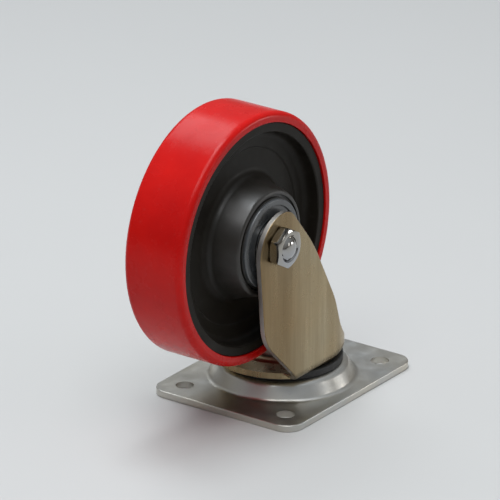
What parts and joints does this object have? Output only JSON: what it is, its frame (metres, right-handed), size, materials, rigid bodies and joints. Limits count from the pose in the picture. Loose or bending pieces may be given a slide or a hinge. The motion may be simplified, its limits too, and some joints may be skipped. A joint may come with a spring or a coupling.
{
  "type": "swivel castor",
  "caption": "Swivel plate castor: a red polyurethane tread on a dished grey core, running on ball bearings in a pressed steel fork with a ball-race swivel head.",
  "frame": {"origin": "centre of the mounting plate's face, on the swivel axis", "axes": "+Z from the plate to the wheel, +X along the axle towards the nut, -Y the way the wheel trails"},
  "size_m": [0.085, 0.16, 0.155],
  "materials": {
    "red_tread": "glossy cast polyurethane with faint mould and turning marks",
    "grey_core": "satin moulded nylon, charcoal grey",
    "grey_cap": "satin moulded plastic",
    "zinc_fork": "bright zinc plating on pressed sheet",
    "zinc_plate": "bright zinc plating on pressed sheet",
    "zinc_fastener": "bright zinc plating",
    "bearing_steel": "ground bearing steel",
    "cage_plastic": "natural moulded nylon",
    "black_seal": "matte moulded rubber"
  },
  "bodies": {
    "head": {"mounting_plate": "zinc_plate", "kingpin_bolt": "zinc_fastener", "kingpin_spacer": "zinc_fastener", "kingpin_nut": "zinc_fastener", "retaining_cup": "zinc_plate", "swivel_seal": "black_seal"},
    "main_ball_row": {"main_race_balls": "bearing_steel"},
    "second_ball_row": {"second_race_balls": "bearing_steel"},
    "fork_body": {"fork": "zinc_fork", "axle_bolt": "zinc_fastener", "axle_nut": "zinc_fastener", "axle_tube": "zinc_fastener", "spacer_right": "zinc_fastener", "spacer_left": "zinc_fastener", "bearing_inner_ring_right": "bearing_steel", "bearing_inner_ring_left": "bearing_steel"},
    "wheel": {"tread": "red_tread", "wheel_core": "grey_core", "bearing_outer_ring_right": "bearing_steel", "bearing_outer_ring_left": "bearing_steel", "bearing_seals_right": "black_seal", "bearing_seals_left": "black_seal", "dust_cap_right": "grey_cap", "dust_cap_left": "grey_cap"},
    "ball_set_right": {"bearing_balls_right": "bearing_steel", "bearing_cage_right": "cage_plastic"},
    "ball_set_left": {"bearing_balls_left": "bearing_steel", "bearing_cage_left": "cage_plastic"}
  },
  "joints": [
    {"name": "swivel", "type": "hinge", "parent": "head", "child": "fork_body", "pos_m": [0, 0, 0.0172], "axis": [0, 0, 1], "continuous": true},
    {"name": "main_row_turn", "type": "hinge", "parent": "head", "child": "main_ball_row", "pos_m": [0, 0, 0.0139], "axis": [0, 0, 1], "continuous": true},
    {"name": "second_row_turn", "type": "hinge", "parent": "head", "child": "second_ball_row", "pos_m": [0, 0, 0.0201], "axis": [0, 0, 1], "continuous": true},
    {"name": "wheel_spin", "type": "hinge", "parent": "fork_body", "child": "wheel", "pos_m": [0, -0.045, 0.0925], "axis": [1, 0, 0], "continuous": true},
    {"name": "ball_set_right_turn", "type": "hinge", "parent": "fork_body", "child": "ball_set_right", "pos_m": [0.0175, -0.045, 0.0925], "axis": [1, 0, 0], "continuous": true},
    {"name": "ball_set_left_turn", "type": "hinge", "parent": "fork_body", "child": "ball_set_left", "pos_m": [-0.0175, -0.045, 0.0925], "axis": [1, 0, 0], "continuous": true}
  ],
  "couplings": [
    {"joint": "main_row_turn", "follows": "swivel", "ratio": 0.5},
    {"joint": "second_row_turn", "follows": "swivel", "ratio": 0.5},
    {"joint": "ball_set_right_turn", "follows": "wheel_spin", "ratio": 0.6024},
    {"joint": "ball_set_left_turn", "follows": "wheel_spin", "ratio": 0.6024}
  ]
}
